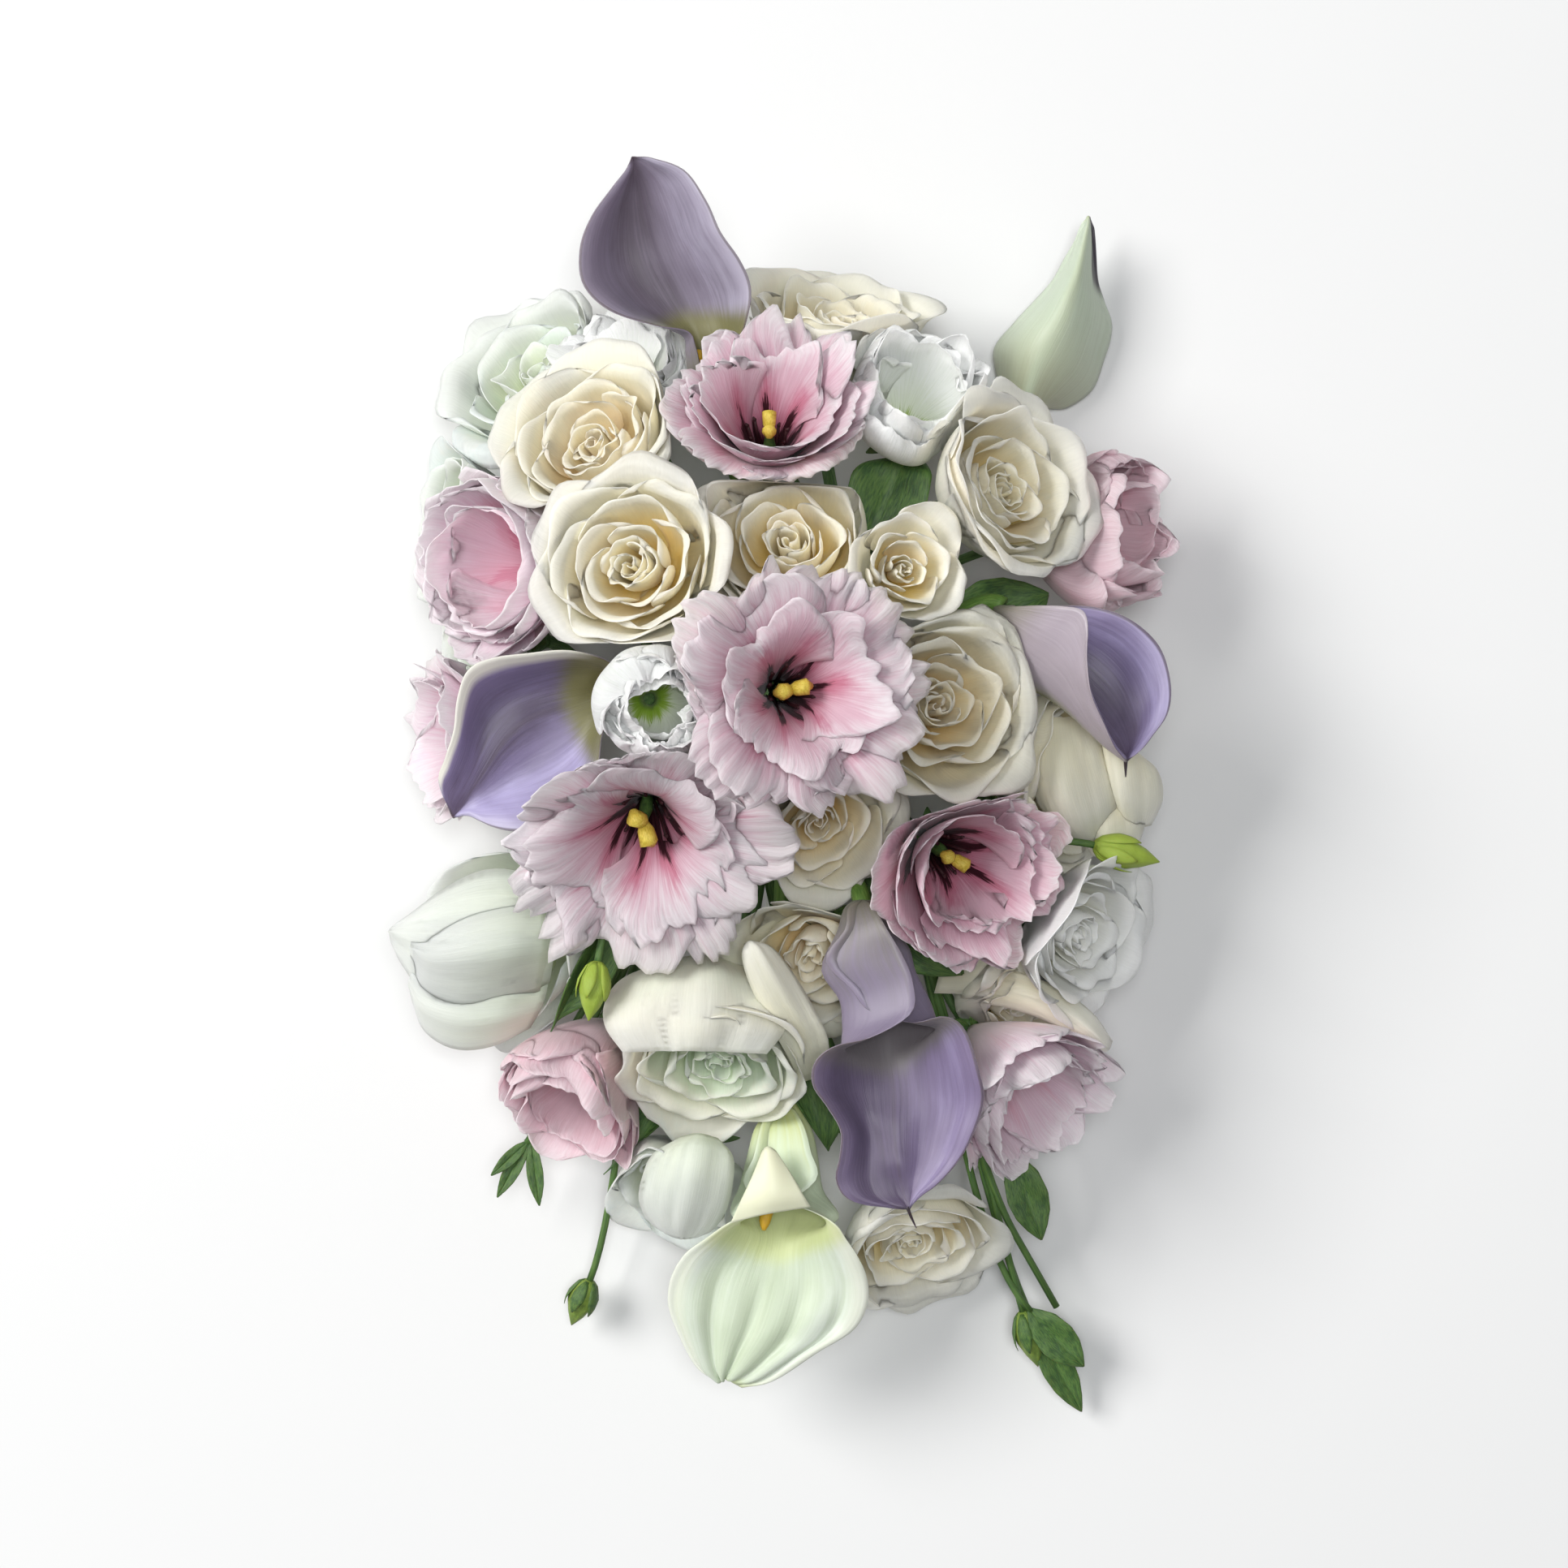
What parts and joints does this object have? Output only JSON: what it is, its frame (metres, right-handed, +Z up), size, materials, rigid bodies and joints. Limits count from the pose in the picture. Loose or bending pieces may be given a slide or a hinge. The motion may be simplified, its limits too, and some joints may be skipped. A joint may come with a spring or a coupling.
{
  "type": "rose and calla lily bridal bouquet",
  "caption": "Teardrop bridal bouquet lying face up: roses, lisianthus and calla lilies on branched stems in a ball of wet foam, held by a cup with a handle.",
  "frame": {"origin": "on the surface that the bouquet lies on, under the middle of its box", "axes": "+Z up, the way the flowers face; +Y towards the bouquet's rounded head; -Y along the handle towards its trailing tail"},
  "size_m": [0.271, 0.449, 0.1423],
  "materials": {
    "rose_cream": "soft petal, cream with a deeper yellow heart",
    "rose_white": "soft petal, white with a green tinge",
    "rose_beige": "soft petal, pale beige",
    "lisianthus_pink": "thin ruffled petal, lilac pink with a dark throat",
    "lisianthus_white": "thin petal, white",
    "calla_violet": "smooth waxy spathe, violet grey",
    "calla_green_white": "smooth waxy spathe, white green",
    "stem_green": "smooth green stem, leaf and bud",
    "calla_stem_green": "smooth green stem with a yellow spadix",
    "wet_foam": "matt open-cell foam, dark green",
    "holder_plastic": "moulded plastic, dark green"
  },
  "bodies": {
    "root": {"bouquet_holder": "holder_plastic", "calla_lilac_head": "calla_violet", "calla_lilac_head_stem": "calla_stem_green", "calla_lilac_left": "calla_violet", "calla_lilac_left_stem": "calla_stem_green", "calla_lilac_right": "calla_violet", "calla_lilac_right_stem": "calla_stem_green", "calla_lilac_tail": "calla_violet", "calla_lilac_tail_stem": "calla_stem_green", "calla_white_right": "calla_green_white", "calla_white_right_stem": "calla_stem_green", "calla_white_tail": "calla_green_white", "calla_white_tail_stem": "calla_stem_green", "foam_ball": "wet_foam", "lisianthus_heart": "lisianthus_pink", "lisianthus_left": "lisianthus_pink", "lisianthus_left_edge": "lisianthus_pink", "lisianthus_lower_left": "lisianthus_pink", "lisianthus_lower_right": "lisianthus_pink", "lisianthus_right": "lisianthus_pink", "lisianthus_stem_heart": "stem_green", "lisianthus_stem_left": "stem_green", "lisianthus_stem_right": "stem_green", "lisianthus_stem_tail_left": "stem_green", "lisianthus_stem_tail_right": "stem_green", "lisianthus_stem_top": "stem_green", "lisianthus_tail_left": "lisianthus_pink", "lisianthus_tail_right": "lisianthus_pink", "lisianthus_top": "lisianthus_pink", "rose_filler": "rose_beige", "rose_head": "rose_white", "rose_head_left": "rose_white", "rose_heart_left": "rose_cream", "rose_heart_right": "rose_beige", "rose_heart_top": "rose_cream", "rose_left_edge": "rose_white", "rose_left_edge_low": "rose_white", "rose_left_low": "rose_white", "rose_middle_low": "rose_beige", "rose_right_edge": "rose_beige", "rose_right_edge_low": "rose_beige", "rose_right_low": "rose_white", "rose_small_heart": "rose_cream", "rose_stem_heart": "stem_green", "rose_stem_left": "stem_green", "rose_stem_middle": "stem_green", "rose_stem_right": "stem_green", "rose_stem_right_low": "stem_green", "rose_stem_tail": "stem_green", "rose_stem_upper_left": "stem_green", "rose_stem_upper_right": "stem_green", "rose_tail_heart": "rose_white", "rose_tail_left": "rose_white", "rose_tail_right": "rose_cream", "rose_upper_left": "rose_cream", "rose_upper_right": "rose_cream", "white_lisianthus_heart": "lisianthus_white", "white_lisianthus_upper_left": "lisianthus_white", "white_lisianthus_upper_right": "lisianthus_white"}
  },
  "joints": []
}
